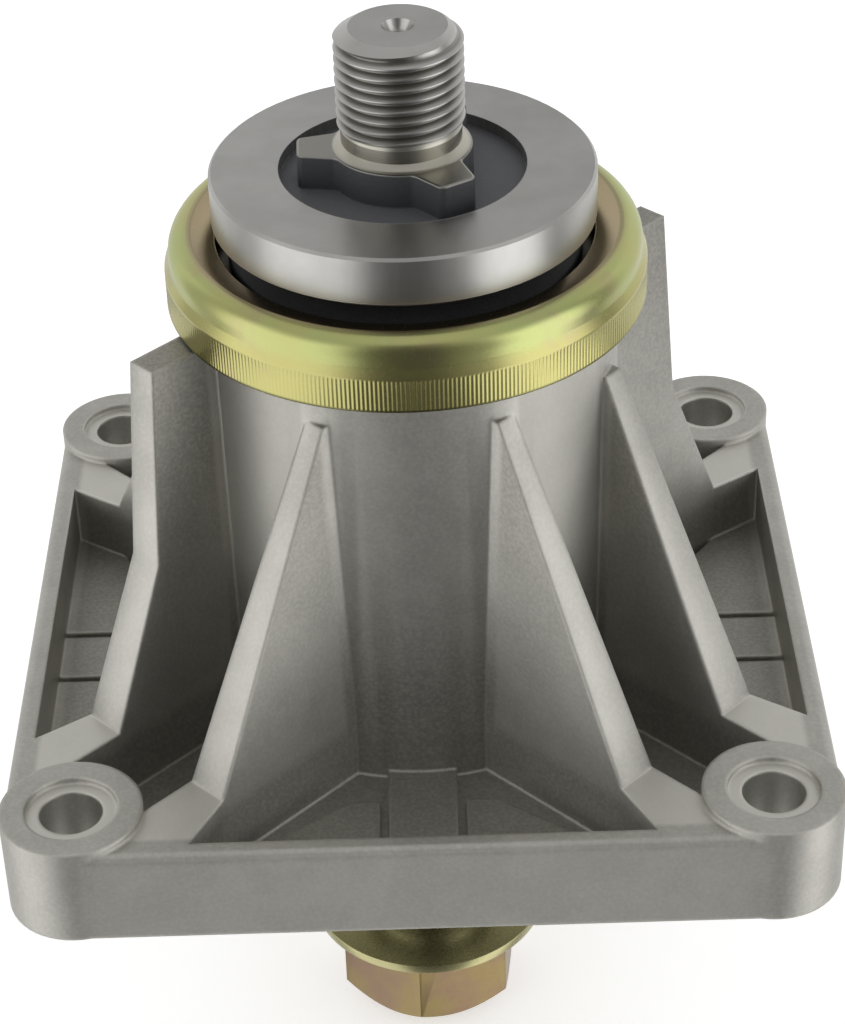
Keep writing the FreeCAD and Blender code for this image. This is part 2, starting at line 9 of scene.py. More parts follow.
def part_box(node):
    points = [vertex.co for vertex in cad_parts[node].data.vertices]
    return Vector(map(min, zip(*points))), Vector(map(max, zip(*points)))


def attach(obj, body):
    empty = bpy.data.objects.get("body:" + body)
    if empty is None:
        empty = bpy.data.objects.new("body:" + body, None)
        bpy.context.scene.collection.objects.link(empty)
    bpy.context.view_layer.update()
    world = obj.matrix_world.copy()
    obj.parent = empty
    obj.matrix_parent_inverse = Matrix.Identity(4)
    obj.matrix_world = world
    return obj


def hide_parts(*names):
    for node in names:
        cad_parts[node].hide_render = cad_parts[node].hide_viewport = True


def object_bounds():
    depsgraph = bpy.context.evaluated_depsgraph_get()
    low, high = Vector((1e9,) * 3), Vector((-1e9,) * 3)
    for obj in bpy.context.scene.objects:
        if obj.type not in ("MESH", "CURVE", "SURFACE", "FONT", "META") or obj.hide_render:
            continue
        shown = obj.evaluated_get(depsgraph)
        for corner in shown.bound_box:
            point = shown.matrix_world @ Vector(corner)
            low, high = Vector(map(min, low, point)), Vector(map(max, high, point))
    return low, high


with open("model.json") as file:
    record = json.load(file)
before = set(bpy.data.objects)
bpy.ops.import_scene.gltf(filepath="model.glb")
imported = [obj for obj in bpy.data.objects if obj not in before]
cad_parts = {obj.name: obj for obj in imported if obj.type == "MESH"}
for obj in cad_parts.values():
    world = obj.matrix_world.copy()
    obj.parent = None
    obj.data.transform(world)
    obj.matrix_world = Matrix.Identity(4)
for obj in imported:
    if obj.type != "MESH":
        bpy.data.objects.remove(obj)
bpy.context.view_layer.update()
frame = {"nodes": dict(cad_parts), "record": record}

# Lengths in this file's dictionaries are millimetres; the scene is in metres
mm = 0.001


class Wire:
    # A socket that can stand in arithmetic: each operator adds a Math node
    def __init__(self, owner, socket):
        self.owner = owner
        self.socket = socket

    def maths(self, operation, *values):
        return self.owner.node("Math", {"operation": operation}, dict(enumerate(values)))

    def __add__(self, other):
        return self.maths("ADD", self, other)

    def __sub__(self, other):
        return self.maths("SUBTRACT", self, other)

    def __rsub__(self, other):
        return self.maths("SUBTRACT", other, self)

    def __mul__(self, other):
        return self.maths("MULTIPLY", self, other)

    def __truediv__(self, other):
        return self.maths("DIVIDE", self, other)

    def __pow__(self, other):
        return self.maths("POWER", self, other)

    __radd__ = __add__
    __rmul__ = __mul__

    def size(self):
        return self.maths("ABSOLUTE", self)

    def least(self, other):
        return self.maths("MINIMUM", self, other)

    def most(self, other):
        return self.maths("MAXIMUM", self, other)

    def waves(self, pitch):
        return self.maths("SINE", self * (2 * math.pi / pitch))

    def swing(self, middle, spread):
        # A wire of 0 to 1 as a swing of that spread about the middle
        return middle + spread * (self - 0.5)

    def step(self, low, high):
        # 0 below low, 1 above high, smooth between; low may be the greater
        values = {"Value": self, "From Min": low, "From Max": high}
        if low > high:
            values = {"Value": self, "From Min": high, "From Max": low, "To Min": 1.0, "To Max": 0.0}
        return self.owner.node("MapRange", {"interpolation_type": "SMOOTHSTEP"}, values)


class Tree:
    # A node tree with one way to add a node: its type, its settings, its socket values
    def __init__(self, tree):
        self.tree = tree

    def node(self, kind, settings=None, values=None, output=0):
        made = self.tree.nodes.new("ShaderNode" + kind)
        for name, value in (settings or {}).items():
            setattr(made, name, value)
        for key, value in (values or {}).items():
            if isinstance(value, Wire):
                self.tree.links.new(value.socket, made.inputs[key])
            else:
                made.inputs[key].default_value = value
        return Wire(self, made.outputs[output])

    def mix(self, mask, first, second):
        # A colour mix has its factor and colours on sockets 0, 6 and 7, and its colour on output 2
        return self.node("Mix", {"data_type": "RGBA"}, {0: mask, 6: first, 7: second}, output=2)

    def stretched(self, vector, factors):
        return self.node("VectorMath", {"operation": "MULTIPLY"}, {0: vector, 1: factors})

    def axes(self, vector):
        return [self.node("SeparateXYZ", None, {"Vector": vector}, output=axis) for axis in "XYZ"]


class Finish(Tree):
    # A material whose steady values sit on the shader's own sockets
    def __init__(self, name, **steady):
        self.material = bpy.data.materials.new(name)
        self.material.use_nodes = True
        super().__init__(self.material.node_tree)
        self.shader = self.tree.nodes["Principled BSDF"]
        for socket, value in steady.items():
            self.shader.inputs[socket.replace("_", " ")].default_value = value
        coordinates = self.node("TexCoord", output="Object")
        self.place = self.stretched(coordinates, (1 / mm, 1 / mm, 1 / mm))
        self.across, self.along, self.height = self.axes(self.place)
        self.reach = (self.across * self.across + self.along * self.along) ** 0.5

    def grain(self, grainSize, detail=3.0, roughness=0.55, place=None):
        values = {"Vector": place or self.place, "Scale": 1 / grainSize, "Detail": detail,
                  "Roughness": roughness}
        return self.node("TexNoise", None, values)

    def feed(self, socket, value):
        self.tree.links.new(value.socket, self.shader.inputs[socket])

    def bump(self, height, depth, rounding=None):
        # depth in millimetres of the full swing of height
        values = {"Height": height, "Distance": depth * mm, "Strength": 1.0}
        if rounding:
            values["Normal"] = rounding
        self.feed("Normal", self.node("Bump", None, values))


screenColour = {"full": 255, "toe": 0.04045, "toeSlope": 12.92, "lift": 0.055, "power": 2.4}


def shade(red, green, blue):
    # An sRGB colour, 0 to 255, as the linear colour that a socket takes
    lift = screenColour["lift"]
    linear = []
    for channel in (red, green, blue):
        share = channel / screenColour["full"]
        if share < screenColour["toe"]:
            linear.append(share / screenColour["toeSlope"])
        else:
            linear.append(((share + lift) / (1 + lift)) ** screenColour["power"])
    return (*linear, 1.0)


# Finishes. In their dictionaries a pair is where a zone fades in and where it is full.

# The casting's darker grey of 118, 115, 108 is painted shade, and its whiter grey of 236, 234, 226 painted
# light
castLook = {
    "body": shade(184, 182, 176), "dull": shade(176, 174, 168), "worn": shade(226, 224, 212),
    "paintedShade": shade(118, 115, 108), "paintedHighlight": shade(236, 234, 226), "metallic": 0.93, "roughness": 0.52,
    "mottleSize": 6.0, "mottleDetail": 4.0, "mottle": (0.35, 0.68),
    "grainSize": 0.5, "grainDepth": 0.012, "grainRoughness": 0.1,
    "speckle": (0.3, 0.8), "speckleWear": 0.25,
    "edgeRadius": 0.7, "edgeSamples": 6, "edgeTurn": (0.995, 0.9), "edgeWear": 0.35, "edgePolish": 0.06,
    # The pockets and the tube's foot, darkened with painted shade
    "offDeck": (0.5, 2.0), "pocketTop": (12.6, 9.6), "pocketSide": (49.0, 48.0), "screwSide": (38.0, 36.0),
    "tubeReach": (28.8, 27.8), "tubeFoot": (36.0, 14.0), "pocketShade": 0.42,
    # The tube's head in the corner slots, lightened with painted light
    "slotHalf": (14.0, 9.0), "tubeHead": (22.0, 40.0), "slotLight": 0.35,
    # The ribs' sides, darkened with painted shade, and their edges and feet, lightened with painted light
    "facesOut": (0.45, 0.75), "ribSide": (14.0, 60.0), "ribSideShade": 0.55,
    "ribEdgeFoot": (13.5, 20.0), "ribEdgeHead": (50.0, 40.0), "ribEdgeLight": 0.15,
    "rimLevel": 12.8, "offRim": (0.5, 0.2), "facesUp": (0.8, 0.95), "ribFootSide": (49.5, 48.5),
    "ribFootLight": 0.45,
    # The flange's four upright faces, not their corners, lightened with painted light
    "flangeFace": (52.0, 52.2), "flangeMiddle": (46.0, 36.0), "flangeLight": 0.2}


def castPaintedShadeAndLight(finish, facing):
    # The shares of painted shade and of painted light, by place and facing
    look = castLook
    far = finish.across.size().most(finish.along.size())
    near = finish.across.size().least(finish.along.size())
    offDeck = finish.height.step(*look["offDeck"])
    pocket = finish.height.step(*look["pocketTop"]) * offDeck
    pocket = pocket * far.step(*look["pocketSide"]) * near.step(*look["screwSide"])
    onTube = finish.reach.step(*look["tubeReach"])
    tubeFoot = onTube * finish.height.step(*look["tubeFoot"]) * offDeck
    slot = onTube * (far - near).step(*look["slotHalf"]) * finish.height.step(*look["tubeHead"])
    x, y, z = finish.axes(facing)
    outward = ((x * finish.across + y * finish.along) / finish.reach).size()
    facesOut = outward.step(*look["facesOut"])
    ribSide = (1 - onTube) * (1 - facesOut) * finish.height.step(*look["ribSide"])
    ribEdge = (1 - onTube) * facesOut
    ribEdge = ribEdge * finish.height.step(*look["ribEdgeFoot"]) * finish.height.step(*look["ribEdgeHead"])
    ribFoot = (finish.height - look["rimLevel"]).size().step(*look["offRim"])
    ribFoot = ribFoot * z.step(*look["facesUp"]) * far.step(*look["ribFootSide"])
    flange = far.step(*look["flangeFace"]) * near.step(*look["flangeMiddle"])
    paintedShade = (pocket.most(tubeFoot) * look["pocketShade"]).most(ribSide * look["ribSideShade"])
    paintedLight = (slot * look["slotLight"]).most(ribEdge * look["ribEdgeLight"])
    paintedLight = paintedLight.most(ribFoot * look["ribFootLight"]).most(flange * look["flangeLight"])
    return paintedShade, paintedLight


def castAluminium():
    look = castLook
    finish = Finish("cast_aluminium", Metallic=look["metallic"])
    fine = finish.grain(look["grainSize"])
    broad = finish.grain(look["mottleSize"], detail=look["mottleDetail"])
    rounded = finish.node("Bevel", {"samples": look["edgeSamples"]}, {"Radius": look["edgeRadius"] * mm})
    facing = finish.node("NewGeometry", output="Normal")
    normals = {0: rounded, 1: facing}
    likeness = finish.node("VectorMath", {"operation": "DOT_PRODUCT"}, normals, output="Value")
    edge = likeness.step(*look["edgeTurn"])
    paintedShade, paintedLight = castPaintedShadeAndLight(finish, facing)
    colour = finish.mix(broad.step(*look["mottle"]), look["dull"], look["body"])
    # Painted shade darkens the pockets, the tube's foot and the ribs' sides
    colour = finish.mix(paintedShade, colour, look["paintedShade"])
    # Painted light whitens the tube's head in the slots, the ribs' edges and feet, and the flange's faces
    colour = finish.mix(paintedLight, colour, look["paintedHighlight"])
    colour = finish.mix(fine.step(*look["speckle"]) * look["speckleWear"], colour, look["worn"])
    finish.feed("Base Color", finish.mix(edge * look["edgeWear"], colour, look["worn"]))
    roughness = fine.swing(look["roughness"], look["grainRoughness"])
    finish.feed("Roughness", roughness - look["edgePolish"] * edge)
    finish.bump(fine, look["grainDepth"], rounded)
    return finish.material


steelLook = {
    "bright": shade(184, 183, 180), "soft": shade(174, 173, 170), "roughness": 0.3,
    "mottleSize": 7.0, "mottleDetail": 4.0, "mottle": (0.3, 0.7), "grainSize": 0.5, "grainShare": 0.4,
    "toolPitch": 0.22, "toolDepth": 0.004, "toolShare": 0.5,
    "streakSize": 1.1, "streakDetail": 4.0, "streakStretch": (1.6, 1.6, 0.12), "streakRoughness": 0.1,
    "streakShare": 0.5,
    # The driver: black scale in its recess, worn off the lobes' tops
    "recess": (15.55, 15.25), "aboveCollar": (72.0, 73.0), "recessFloor": (77.75, 77.55),
    "lobeTop": (81.7, 81.95), "scale": shade(64, 65, 67), "floor": shade(98, 99, 102),
    "worn": shade(150, 148, 141), "scaleCover": 0.75, "scaleRoughness": 0.3, "scaleGrain": 14,
    # The stained neck
    "offNeck": (8.4, 8.6), "neckFoot": (76.0, 77.0), "neckTop": (85.3, 84.5), "stain": shade(176, 171, 154),
    "stainLeast": 0.35, "stainMottle": 0.6,
    # The stud's thread, darker at its roots
    "threadFoot": (84.6, 85.2), "threadTop": (96.6, 96.0), "root": (7.85, 7.3), "rootTone": shade(112, 110, 102),
    "rootDarkening": 0.75, "rootRoughness": 0.12}


def turnedSteel():
    look = steelLook
    finish = Finish("turned_steel", Metallic=1.0)
    broad = finish.grain(look["mottleSize"], detail=look["mottleDetail"])
    fine = finish.grain(look["grainSize"])
    lathe = (finish.reach + finish.height).waves(look["toolPitch"])
    upright = finish.stretched(finish.place, look["streakStretch"])
    streaks = finish.grain(look["streakSize"], detail=look["streakDetail"], place=upright)

    offNeck = finish.reach.step(*look["offNeck"])
    driver = finish.reach.step(*look["recess"]) * finish.height.step(*look["aboveCollar"]) * offNeck
    lobeTop = finish.height.step(*look["lobeTop"])
    scale = driver * (1 - lobeTop)
    floor = finish.height.step(*look["recessFloor"])
    neck = (1 - offNeck) * finish.height.step(*look["neckFoot"]) * finish.height.step(*look["neckTop"])
    root = finish.reach.step(*look["root"]) * finish.height.step(*look["threadFoot"])
    root = root * finish.height.step(*look["threadTop"])

    colour = finish.mix(broad.step(*look["mottle"]), look["soft"], look["bright"])
    # Darker at the thread's roots
    colour = finish.mix(root * look["rootDarkening"], colour, look["rootTone"])
    colour = finish.mix(neck * (look["stainLeast"] + look["stainMottle"] * broad), colour, look["stain"])
    colour = finish.mix(driver * lobeTop, colour, look["worn"])
    colour = finish.mix(scale, colour, finish.mix(floor, look["scale"], look["floor"]))
    finish.feed("Base Color", colour)
    finish.feed("Metallic", 1 - look["scaleCover"] * scale)
    roughness = streaks.swing(look["roughness"], look["streakRoughness"])
    finish.feed("Roughness", roughness + look["rootRoughness"] * root + look["scaleRoughness"] * scale)
    relief = lathe * (1 - scale) * look["toolShare"]
    relief = relief + fine * (look["grainShare"] + scale * look["scaleGrain"])
    finish.bump(relief + streaks * look["streakShare"], look["toolDepth"])
    return finish.material


zincLook = {
    "yellow": shade(182, 177, 116), "green": shade(176, 184, 121), "rose": shade(176, 154, 130),
    # The darkest colour, 52, 50, 40, is painted shade in the throat inside the bead, and a dark line along
    # the skirt's lower edge
    "throatShadeAndHemLine": shade(52, 50, 40), "roughness": 0.25, "grainSize": 0.35, "grainRoughness": 0.12,
    "grainDepth": 0.003,
    "tintSize": 14.0, "tintDetail": 2.0, "tintRoughness": 0.5, "tint": (0.4, 0.6), "tintAmount": 0.5,
    "patchSize": 6.3, "patchDetail": 2.0, "patch": (0.55, 0.7), "patchRose": 0.3, "patchSwell": 2,
    "bead": (66.8, 68.4), "beadGreen": 0.45, "insideTop": (67.5, 71.2), "insideReach": (28.2, 26.6),
    "insideRose": 0.8, "throatTop": (70.2, 69.6), "throatFoot": (66.5, 67.0), "throatReach": (26.0, 25.6),
    "hem": (62.4, 62.05), "hemDarkness": 0.7}


def yellowZinc():
    look = zincLook
    finish = Finish("yellow_zinc", Metallic=1.0)
    tint = finish.grain(look["tintSize"], detail=look["tintDetail"], roughness=look["tintRoughness"])
    patches = finish.grain(look["patchSize"], detail=look["patchDetail"])
    fine = finish.grain(look["grainSize"])
    inside = finish.height.step(*look["insideTop"]) * finish.reach.step(*look["insideReach"])
    throat = finish.height.step(*look["throatTop"]) * finish.height.step(*look["throatFoot"])
    throat = throat * finish.reach.step(*look["throatReach"])
    hem = finish.height.step(*look["hem"])
    green = look["beadGreen"] + look["tintAmount"] * tint.step(*look["tint"])
    colour = finish.mix(finish.height.step(*look["bead"]) * green, look["yellow"], look["green"])
    colour = finish.mix(patches.step(*look["patch"]) * look["patchRose"], colour, look["rose"])
    colour = finish.mix(inside * look["insideRose"], colour, look["rose"])
    # Painted shade in the throat, and a dark line along the hem
    finish.feed("Base Color", finish.mix(throat.most(hem * look["hemDarkness"]), colour, look["throatShadeAndHemLine"]))
    finish.feed("Roughness", fine.swing(look["roughness"], look["grainRoughness"]))
    finish.bump(fine + look["patchSwell"] * patches, look["grainDepth"])
    return finish.material


nutLook = {
    "gold": shade(142, 124, 80), "brown": shade(136, 110, 90), "dark": shade(84, 76, 56),
    "mottleSize": 9.0, "mottleDetail": 2.0, "mottle": (0.35, 0.65),
    "flange": shade(178, 176, 130), "flangeFoot": (-44.7, -44.2), "flangeAmount": 0.8, "flangePolish": 0.08,
    "grainSize": 0.5, "grainDepth": 0.006, "grainRoughness": 0.12, "roughness": 0.36,
    "speckle": (0.6, 0.8), "speckleAmount": 0.25}


def goldZinc():
    look = nutLook
    finish = Finish("gold_zinc", Metallic=1.0)
    broad = finish.grain(look["mottleSize"], detail=look["mottleDetail"])
    fine = finish.grain(look["grainSize"])
    onFlange = finish.height.step(*look["flangeFoot"])
    colour = finish.mix(broad.step(*look["mottle"]), look["gold"], look["brown"])
    colour = finish.mix(onFlange * look["flangeAmount"], colour, look["flange"])
    colour = finish.mix(fine.step(*look["speckle"]) * look["speckleAmount"], colour, look["dark"])
    finish.feed("Base Color", colour)
    roughness = fine.swing(look["roughness"], look["grainRoughness"])
    finish.feed("Roughness", roughness - look["flangePolish"] * onFlange)
    finish.bump(fine, look["grainDepth"])
    return finish.material


rubberLook = {"dark": shade(34, 34, 35), "light": shade(50, 50, 51), "mottle": (0.3, 0.7),
              "grainSize": 0.3, "grainDepth": 0.01, "roughness": 0.6, "grainRoughness": 0.2}


def blackRubber():
    look = rubberLook
    finish = Finish("black_rubber", Metallic=0.0)
    fine = finish.grain(look["grainSize"])
    finish.feed("Base Color", finish.mix(fine.step(*look["mottle"]), look["dark"], look["light"]))
    finish.feed("Roughness", fine.swing(look["roughness"], look["grainRoughness"]))
    finish.bump(fine, look["grainDepth"])
    return finish.material


bearingLook = {"dark": shade(205, 206, 208), "light": shade(222, 222, 223), "grainSize": 0.6,
               "grindPitch": 0.12, "grindWander": 0.3, "grindDepth": 0.001, "roughness": 0.18,
               "grainRoughness": 0.1}


def groundSteel():
    look = bearingLook
    finish = Finish("ground_steel", Metallic=1.0)
    fine = finish.grain(look["grainSize"])
    grind = (finish.height + look["grindWander"] * fine).waves(look["grindPitch"])
    finish.feed("Base Color", finish.mix(fine, look["dark"], look["light"]))
    finish.feed("Roughness", fine.swing(look["roughness"], look["grainRoughness"]))
    finish.bump(grind, look["grindDepth"])
    return finish.material


cageLook = {"light": shade(224, 218, 196), "dark": shade(206, 198, 172), "mottleSize": 3.0,
            "grainSize": 0.25, "grainDepth": 0.006, "roughness": 0.45, "grainRoughness": 0.15}


def cagePolymer():
    look = cageLook
    finish = Finish("cage_polymer", Metallic=0.0)
    broad = finish.grain(look["mottleSize"])
    fine = finish.grain(look["grainSize"])
    finish.feed("Base Color", finish.mix(broad, look["light"], look["dark"]))
    finish.feed("Roughness", fine.swing(look["roughness"], look["grainRoughness"]))
    finish.bump(fine, look["grainDepth"])
    return finish.material


tubeLook = {"dark": shade(168, 168, 166), "light": shade(192, 191, 188), "mottleSize": 4.0,
            "lineSize": 0.8, "lineStretch": (3.0, 3.0, 0.2), "lineDepth": 0.004, "lineRoughness": 0.14,
            "grainSize": 0.4, "roughness": 0.34, "grainRoughness": 0.06}


def plainSteel():
    look = tubeLook
    finish = Finish("plain_steel", Metallic=1.0)
    broad = finish.grain(look["mottleSize"])
    fine = finish.grain(look["grainSize"])
    lines = finish.grain(look["lineSize"], place=finish.stretched(finish.place, look["lineStretch"]))
    finish.feed("Base Color", finish.mix(broad, look["dark"], look["light"]))
    roughness = lines.swing(look["roughness"], look["lineRoughness"])
    finish.feed("Roughness", fine.swing(roughness, look["grainRoughness"]))
    finish.bump(lines, look["lineDepth"])
    return finish.material


finishOfSlot = {
    "cast_aluminium": castAluminium(), "turned_steel": turnedSteel(), "zinc_yellow_cap": yellowZinc(),
    "zinc_gold_nut": goldZinc(), "black_rubber": blackRubber(), "bearing_steel": groundSteel(),
    "cage_polymer": cagePolymer(), "plain_steel": plainSteel()}
for subpart in frame["record"]["subparts"]:
    node = frame["nodes"][subpart["node"]]
    node.data.materials.clear()
    node.data.materials.append(finishOfSlot[subpart["material_slot"]])
print("finishes on", len(frame["nodes"]), "nodes")


# Pieces that stand for a node

meshing = {"weld": 0.001, "slack": 0.01, "levelFace": 0.9999, "flatDegrees": 1.0, "plainDegrees": 28.0,
           "segments": 2, "profile": 0.5, "leastSteps": 2, "stepsPerMillimetre": 2}


def newPiece(name, mesh, slot, body, node):
    piece = bpy.data.objects.new(name, mesh)
    bpy.context.scene.collection.objects.link(piece)
    mesh.materials.clear()
    mesh.materials.append(finishOfSlot[slot])
    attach(piece, body)
    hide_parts(node)
    return piece


def toMesh(shape, name, sharpDegrees):
    # Smooth faces, save the level ones, with edges sharper than the angle kept crisp
    shape.normal_update()
    sharp = math.radians(sharpDegrees)
    for face in shape.faces:
        face.smooth = abs(face.normal.z) < meshing["levelFace"]
    for edge in shape.edges:
        edge.smooth = not (len(edge.link_faces) == 2 and edge.calc_face_angle() > sharp)
    mesh = bpy.data.meshes.new(name)
    shape.to_mesh(mesh)
    shape.free()
    return mesh


def weld(shape):
    bmesh.ops.remove_doubles(shape, verts=shape.verts, dist=meshing["weld"] * mm)


def nodeShape(node):
    # A node's mesh as an editable copy, its split corners welded again
    shape = bmesh.new()
    shape.from_mesh(frame["nodes"][node].data)
    weld(shape)
    return shape


def softenEdges(shape, softening, chosen):
    # Round the edges between clearly turned faces, where the test picks their middle in millimetres
    flat = math.radians(meshing["flatDegrees"])
    plain = math.radians(meshing["plainDegrees"])
    bmesh.ops.dissolve_limit(shape, angle_limit=flat, verts=shape.verts, edges=shape.edges)
    picked = []
    for edge in shape.edges:
        middle = (edge.verts[0].co + edge.verts[1].co) / 2 / mm
        if len(edge.link_faces) == 2 and edge.calc_face_angle() > plain and chosen(middle):
            picked.append(edge)
    bmesh.ops.bevel(shape, geom=picked, offset=softening * mm, offset_type="OFFSET",
                    segments=meshing["segments"], profile=meshing["profile"], affect="EDGES",
                    clamp_overlap=True)


castingForm = {"softening": 0.45, "boreReach": 25.0, "holeReach": 4.4, "holeSpacing": 87.3,
               "deckFace": 0.2, "sharpDegrees": 40}


def softCasting():
    # The casting again, its edges rounded and filleted, save at the bores, screw holes and deck face
    form = castingForm

    def cast(middle):
        half = form["holeSpacing"] / 2
        fromHole = math.hypot(abs(middle.x) - half, abs(middle.y) - half)
        outside = middle.xy.length > form["boreReach"] and fromHole > form["holeReach"]
        return outside and middle.z > form["deckFace"]

    shape = nodeShape("housing")
    softenEdges(shape, form["softening"], cast)
    bmesh.ops.triangulate(shape, faces=shape.faces)
    mesh = toMesh(shape, "housing_casting", form["sharpDegrees"])
    return newPiece("housing_casting", mesh, "cast_aluminium", "housing", "housing")


casting = softCasting()
print("casting", len(casting.data.polygons), "faces")


# A thread of 5/8 in by 18 to the inch, its crests and roots as shares of the pitch
threads = {"pitch": 25.4 / 18, "crestShare": 0.12, "rootShare": 0.16, "crestReach": 15.875 / 2,
           "rootReach": 7.1, "columns": 96, "spareTurns": 2}


def alongRun(run, height):
    # The reach at a height, on straight runs between pairs of height and reach
    for (lowHeight, lowReach), (highHeight, highReach) in zip(run, run[1:]):
        if height <= highHeight:
            return lowReach + (highReach - lowReach) * (height - lowHeight) / (highHeight - lowHeight)
    return run[-1][1]


def addThread(shape, crests, roots):
    # A helical 60 degree thread, never outside the run of crests or below the run of roots
    low, high = crests[0][0], crests[-1][0]
    pitch = threads["pitch"]
    crest, root = threads["crestShare"] / 2, threads["rootShare"] / 2
    # The root lies half a pitch from the crest
    form = [(crest, threads["crestReach"]), (0.5 - root, threads["rootReach"]),
            (0.5 + root, threads["rootReach"]), (1 - crest, threads["crestReach"])]

    def ringAt(turn, share, reach):
        ring = []
        for i in range(threads["columns"] + 1):
            around = i / threads["columns"]
            z = min(max(low + pitch * (turn + share + around), low), high)
            at = min(max(reach, alongRun(roots, z)), alongRun(crests, z))
            angle = 2 * math.pi * around
            ring.append(shape.verts.new(Vector((at * math.cos(angle), at * math.sin(angle), z)) * mm))
        return ring

    spare = threads["spareTurns"]
    turns = range(-spare, int((high - low) / pitch) + spare)
    rings = [ringAt(turn, share, reach) for turn in turns for share, reach in form]
    for lower, upper in zip(rings, rings[1:]):
        for i in range(threads["columns"]):
            shape.faces.new((lower[i], lower[i + 1], upper[i + 1], upper[i]))


spindleForm = {"bluntStart": 84.5, "fullStart": 85.4, "neckReach": 7.4975, "studChamfer": (1.9, 1.2),
               "stemThreadEnd": -36.0, "stemRunout": 1.4, "stemChamfer": 0.9, "lobeSoftening": 0.35,
               "lobeBand": (77.8, 82.2), "lobeReach": 15.0, "levelFace": 0.95, "sharpDegrees": 32}


def threadedSpindle():
    # The forging again: softened lobes, and real threads where the two bands were plain
    form = spindleForm
    shape = nodeShape("spindle_shaft")
    low, high = (corner.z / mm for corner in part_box("spindle_shaft"))
    crest, root, neck = threads["crestReach"], threads["rootReach"], form["neckReach"]
    width, depth = form["studChamfer"]
    blunt, full = form["bluntStart"], form["fullStart"]
    stemEnd, chamfer = form["stemThreadEnd"], form["stemChamfer"]
    slack = meshing["slack"]
    bmesh.ops.bisect_plane(shape, geom=shape.verts[:] + shape.edges[:] + shape.faces[:],
                           dist=meshing["weld"] * mm, plane_co=(0, 0, stemEnd * mm), plane_no=(0, 0, 1))

    def banded(face):
        outside = all(v.co.xy.length > (crest - width - slack) * mm for v in face.verts)
        heights = [v.co.z / mm for v in face.verts]
        onBand = min(heights) > blunt - slack or max(heights) < stemEnd + slack
        return outside and abs(face.normal.z) < form["levelFace"] and onBand

    def onLobe(middle):
        lobeFoot, lobeTop = form["lobeBand"]
        return middle.xy.length < form["lobeReach"] and lobeFoot < middle.z < lobeTop

    bmesh.ops.delete(shape, geom=[face for face in shape.faces if banded(face)], context="FACES")
    softenEdges(shape, form["lobeSoftening"], onLobe)
    bmesh.ops.triangulate(shape, faces=shape.faces)
    studCrests = [(blunt, neck), (full, crest), (high - depth, crest), (high, crest - width)]
    addThread(shape, studCrests, [(blunt, neck), (full, root), (high, root)])
    stemCrests = [(low, crest - chamfer), (low + chamfer, crest), (stemEnd, crest)]
    addThread(shape, stemCrests, [(low, root), (stemEnd - form["stemRunout"], root), (stemEnd, crest)])
    weld(shape)
    bmesh.ops.recalc_face_normals(shape, faces=shape.faces)
    mesh = toMesh(shape, "threaded_spindle", form["sharpDegrees"])
    return newPiece("threaded_spindle", mesh, "turned_steel", "spindle", "spindle_shaft")


spindle = threadedSpindle()
print("spindle", len(spindle.data.polygons), "faces")


def roundedOutline(corners):
    # A closed outline of plain points from corners of reach, height and rounding, in millimetres
    points = []
    for i, (reach, height, rounding) in enumerate(corners):
        corner = Vector((reach, height))
        if not rounding:
            points.append(corner)
            continue
        back = (Vector(corners[i - 1][:2]) - corner).normalized()
        ahead = (Vector(corners[(i + 1) % len(corners)][:2]) - corner).normalized()
        half = back.angle(ahead) / 2
        centre = corner + (back + ahead).normalized() * (rounding / math.sin(half))
        start = corner + back * (rounding / math.tan(half)) - centre
        end = corner + ahead * (rounding / math.tan(half)) - centre
        steps = meshing["leastSteps"] + round(meshing["stepsPerMillimetre"] * rounding)
        points += [centre + start.slerp(end, step / steps) * rounding for step in range(steps + 1)]
    return points


def turnedShape(points, columns, reachOf):
    # A closed outline of reach and height turned about the shaft's axis
    shape = bmesh.new()
    rings = []
    for point in points:
        ring = []
        for i in range(columns):
            angle = 2 * math.pi * i / columns
            reach = reachOf(point, i)
            place = Vector((reach * math.cos(angle), reach * math.sin(angle), point.y))
            ring.append(shape.verts.new(place * mm))
        rings.append(ring)
    for lower, upper in zip(rings, rings[1:] + rings[:1]):
        for i in range(columns):
            j = (i + 1) % columns
            shape.faces.new((lower[i], lower[j], upper[j], upper[i]))
    bmesh.ops.recalc_face_normals(shape, faces=shape.faces)
    return shape


capForm = {
    "sheet": 1.2, "shoulder": 0.6, "shoulderStart": 4.7, "wallStart": 5.8, "headTop": 4.4,
    "crestWidth": 2.9, "crestRound": 2.4, "crestInset": 0.2, "flareWidth": 2.0, "flareDrop": 0.9,
    "lipReach": 23.8, "lipSheet": 0.8, "holeReach": 15.4,
    "hemRound": 0.15, "shoulderRound": 0.25, "wallRound": 0.6, "lipRound": 0.3, "bendRound": 0.2,
    "headRound": 0.5, "sharpDegrees": 40,
    "teeth": 360, "toothColumns": 4, "knurlStart": 0.3, "knurlEnd": 4.4, "knurlRunout": 0.1,
    "knurlDepth": 0.05}


